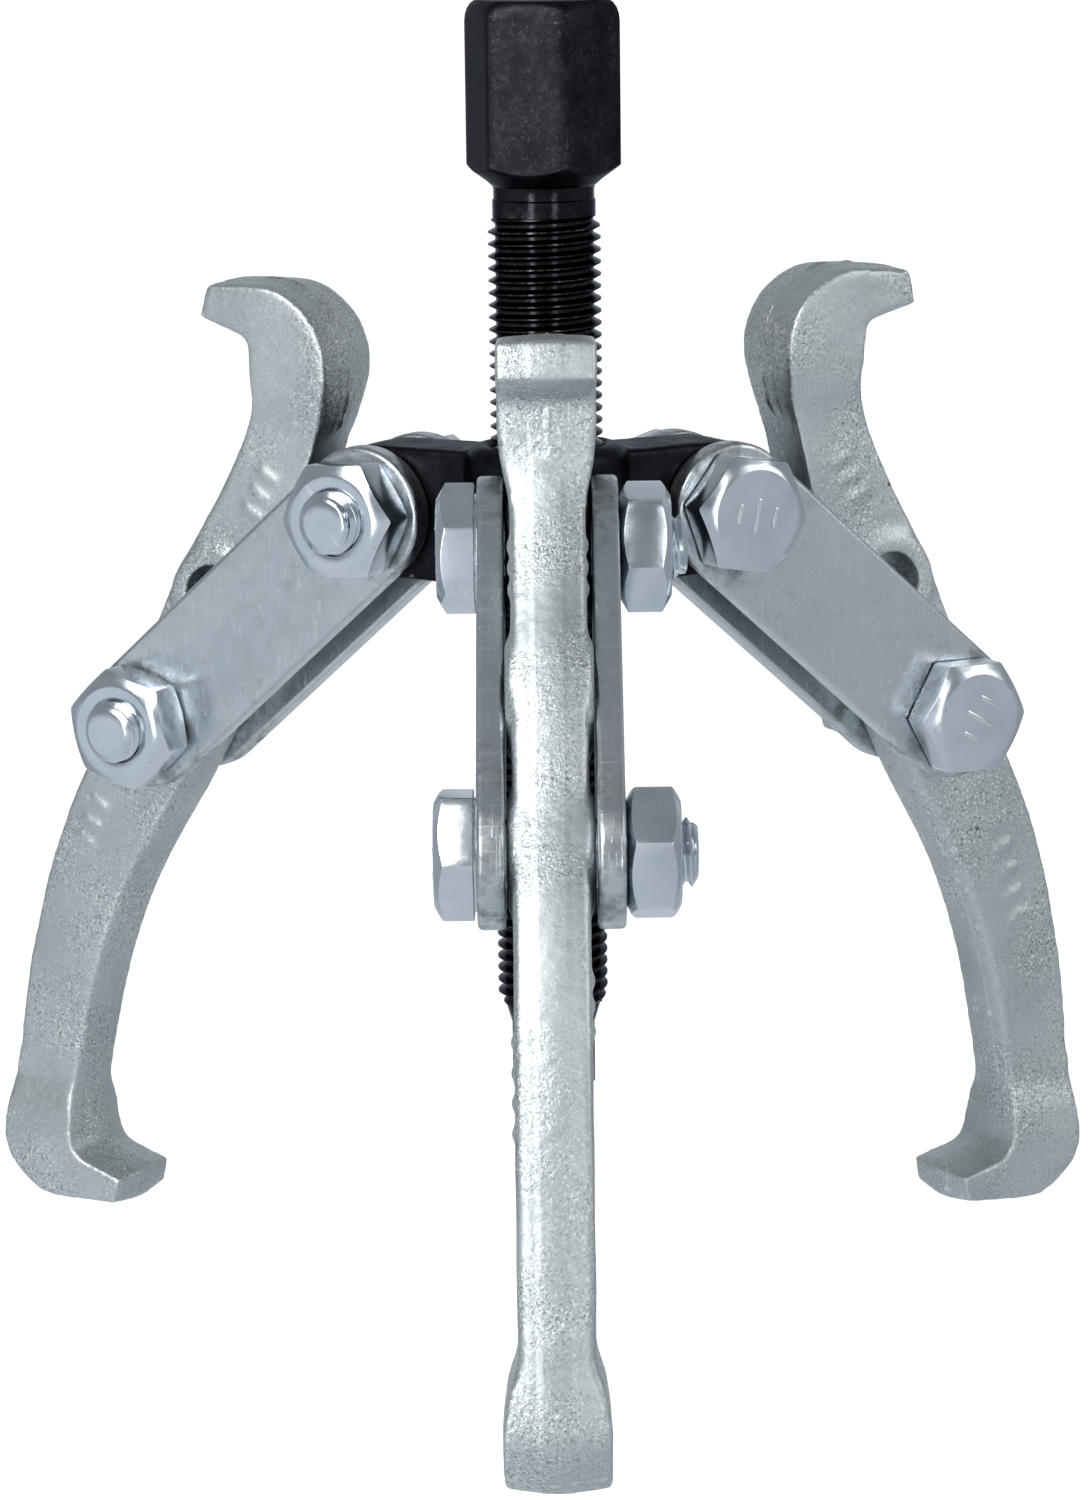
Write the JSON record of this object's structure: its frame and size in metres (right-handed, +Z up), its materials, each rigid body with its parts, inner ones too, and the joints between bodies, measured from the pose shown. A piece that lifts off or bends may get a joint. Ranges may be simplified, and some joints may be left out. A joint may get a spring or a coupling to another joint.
{
  "type": "gear puller",
  "caption": "Reversible mechanical puller: a forcing screw through a black yoke, with hinged link straps carrying double-ended claw jaws.",
  "frame": {"origin": "on the forcing screw's axis, half way along its plain pilot nose", "axes": "+Z up along the forcing screw towards its hex head, -Y towards the front jaw"},
  "size_m": [0.1475, 0.1342, 0.1628],
  "materials": {
    "black_forging": "black oxide over a forged surface, satin",
    "black_screw": "black oxide, oiled, worn brighter at the hex's edges",
    "ball_steel": "polished hardened steel",
    "zinc_forging": "bright zinc plate over a rough shot-blasted forging",
    "zinc_plate": "blue-white zinc plate on smooth strip, lightly scratched",
    "zinc_fastener": "bright zinc plate, smooth"
  },
  "bodies": {
    "yoke": {"yoke": "black_forging"},
    "thrust_ball": {"thrust_ball": "ball_steel"},
    "screw": {"forcing_screw": "black_screw"},
    "link_front": {"strap_front_a": "zinc_plate", "strap_front_b": "zinc_plate", "bolt_front_upper": "zinc_fastener", "nut_front_upper": "zinc_fastener", "bolt_front_lower": "zinc_fastener", "nut_front_lower": "zinc_fastener"},
    "jaw_front": {"jaw_front": "zinc_forging"},
    "link_left": {"strap_left_a": "zinc_plate", "strap_left_b": "zinc_plate", "bolt_left_upper": "zinc_fastener", "nut_left_upper": "zinc_fastener", "bolt_left_lower": "zinc_fastener", "nut_left_lower": "zinc_fastener"},
    "jaw_left": {"jaw_left": "zinc_forging"},
    "link_right": {"strap_right_a": "zinc_plate", "strap_right_b": "zinc_plate", "bolt_right_upper": "zinc_fastener", "nut_right_upper": "zinc_fastener", "bolt_right_lower": "zinc_fastener", "nut_right_lower": "zinc_fastener"},
    "jaw_right": {"jaw_right": "zinc_forging"}
  },
  "joints": [
    {"name": "screw_travel", "type": "slide", "parent": "yoke", "child": "thrust_ball", "axis": [0, 0, 1], "range_m": [-0.028, 0.05]},
    {"name": "screw_turn", "type": "hinge", "parent": "thrust_ball", "child": "screw", "pos_m": [0, 0, 0], "axis": [0, 0, 1], "range_deg": [-6725, 12005]},
    {"name": "link_front_swing", "type": "hinge", "parent": "yoke", "child": "link_front", "pos_m": [0, -0.0225, 0.0683], "axis": [-1, 0, 0], "range_deg": [-31, 36]},
    {"name": "jaw_front_swing", "type": "hinge", "parent": "link_front", "child": "jaw_front", "pos_m": [0, -0.05646, 0.03878], "axis": [1, 0, 0], "range_deg": [-0.1, 51.2]},
    {"name": "link_left_swing", "type": "hinge", "parent": "yoke", "child": "link_left", "pos_m": [-0.01949, 0.01125, 0.0683], "axis": [0.5, 0.866, 0], "range_deg": [-31, 36]},
    {"name": "jaw_left_swing", "type": "hinge", "parent": "link_left", "child": "jaw_left", "pos_m": [-0.0489, 0.02823, 0.03878], "axis": [-0.5, -0.866, 0], "range_deg": [-3.3, 48]},
    {"name": "link_right_swing", "type": "hinge", "parent": "yoke", "child": "link_right", "pos_m": [0.01949, 0.01125, 0.0683], "axis": [0.5, -0.866, 0], "range_deg": [-31, 36]},
    {"name": "jaw_right_swing", "type": "hinge", "parent": "link_right", "child": "jaw_right", "pos_m": [0.0489, 0.02823, 0.03878], "axis": [-0.5, 0.866, 0], "range_deg": [-7.3, 44]}
  ],
  "couplings": [
    {"joint": "screw_turn", "follows": "screw_travel", "rad_per_m": 4188.8}
  ]
}
